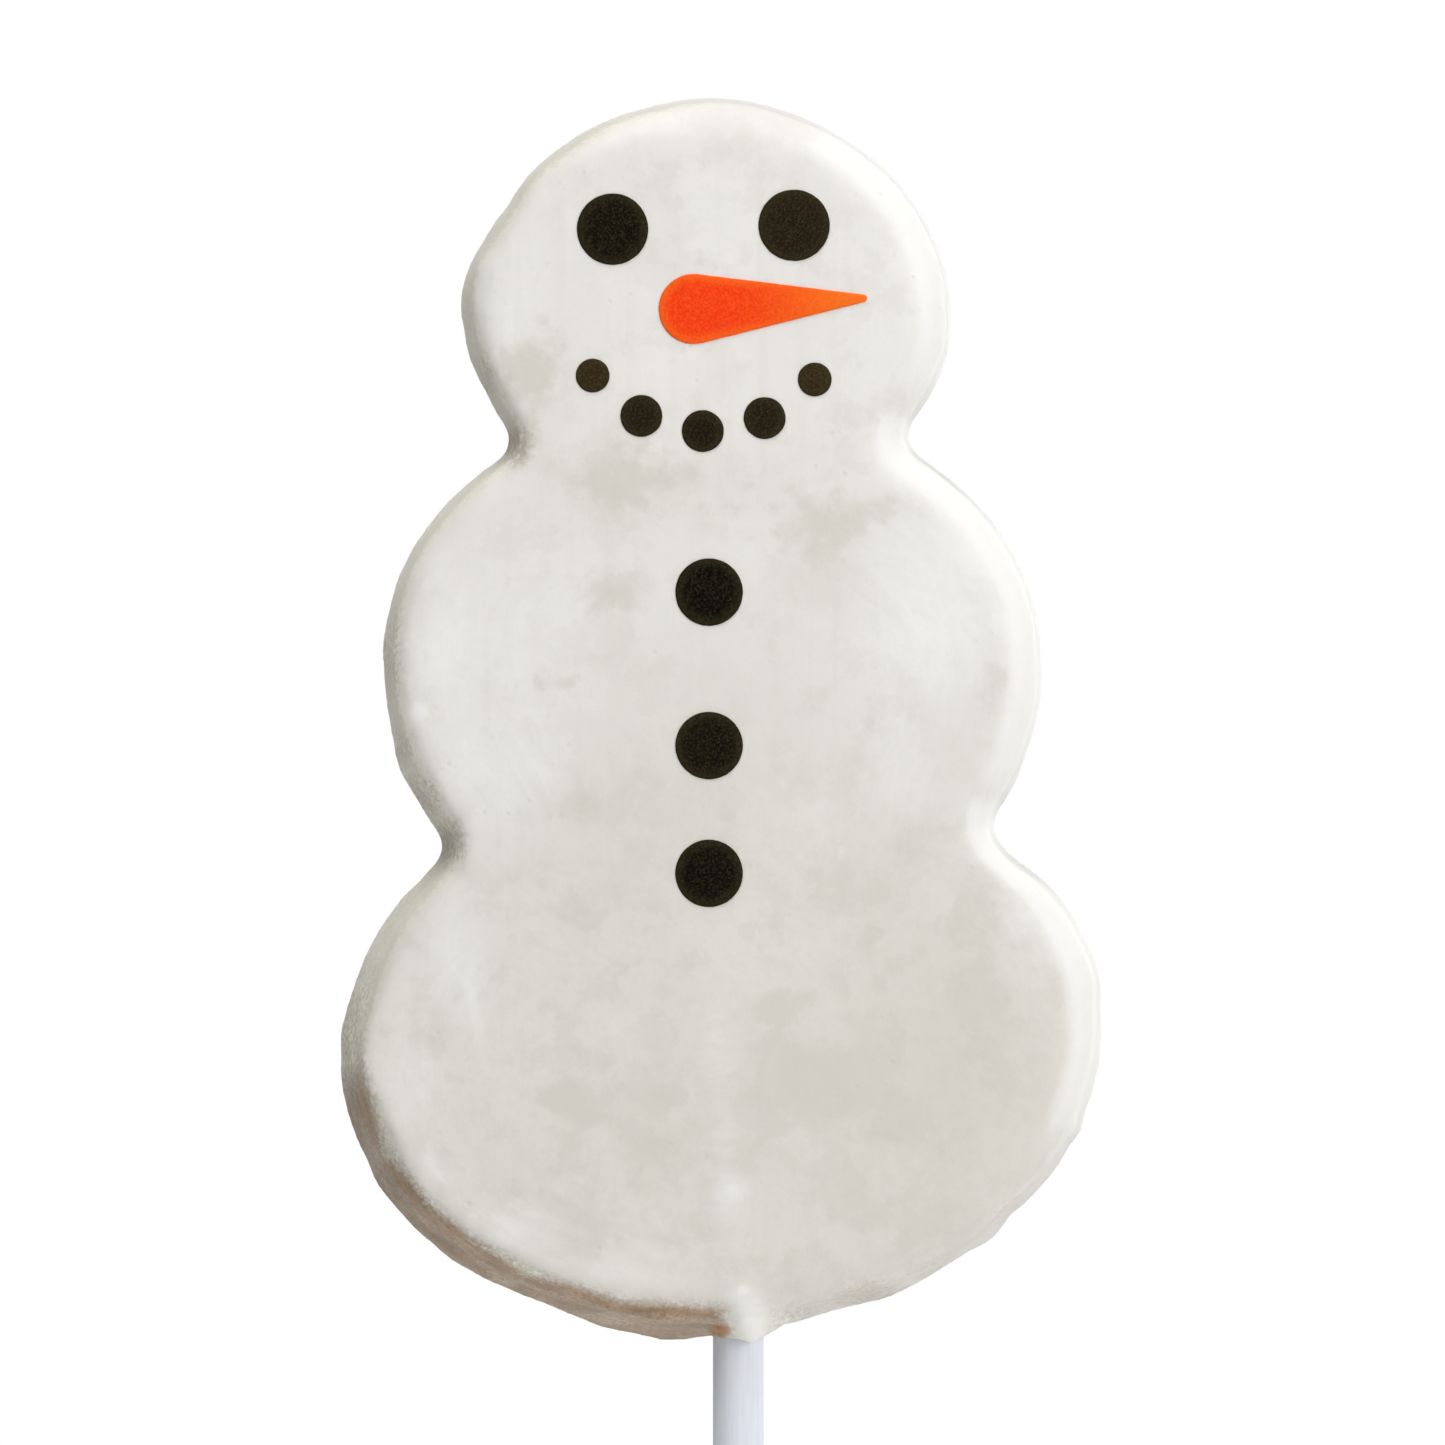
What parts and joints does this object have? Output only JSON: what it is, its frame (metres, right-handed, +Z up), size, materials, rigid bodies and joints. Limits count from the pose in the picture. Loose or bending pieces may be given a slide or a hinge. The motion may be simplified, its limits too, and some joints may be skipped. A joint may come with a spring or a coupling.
{
  "type": "snowman cookie pop",
  "caption": "Flat snowman-shaped cookie pop in a white coating, with icing eyes, nose, mouth and buttons, on a round paper stick.",
  "frame": {"origin": "centre of the paper stick's lower end", "axes": "+Z up along the stick to the head, -Y out of the decorated face, +X to the side the carrot points to"},
  "size_m": [0.0599, 0.0097, 0.217],
  "materials": {
    "coating": "satin",
    "baked_core": "matte",
    "paper_stick": "matte",
    "dark_icing": "matte",
    "orange_icing": "matte"
  },
  "bodies": {
    "root": {"white_coating": "coating", "stick_seal": "coating", "cookie_core": "baked_core", "lollipop_stick": "paper_stick", "left_eye": "dark_icing", "right_eye": "dark_icing", "mouth_dot_1": "dark_icing", "mouth_dot_2": "dark_icing", "mouth_dot_3": "dark_icing", "mouth_dot_4": "dark_icing", "mouth_dot_5": "dark_icing", "top_button": "dark_icing", "middle_button": "dark_icing", "bottom_button": "dark_icing", "carrot_nose": "orange_icing"}
  },
  "joints": []
}
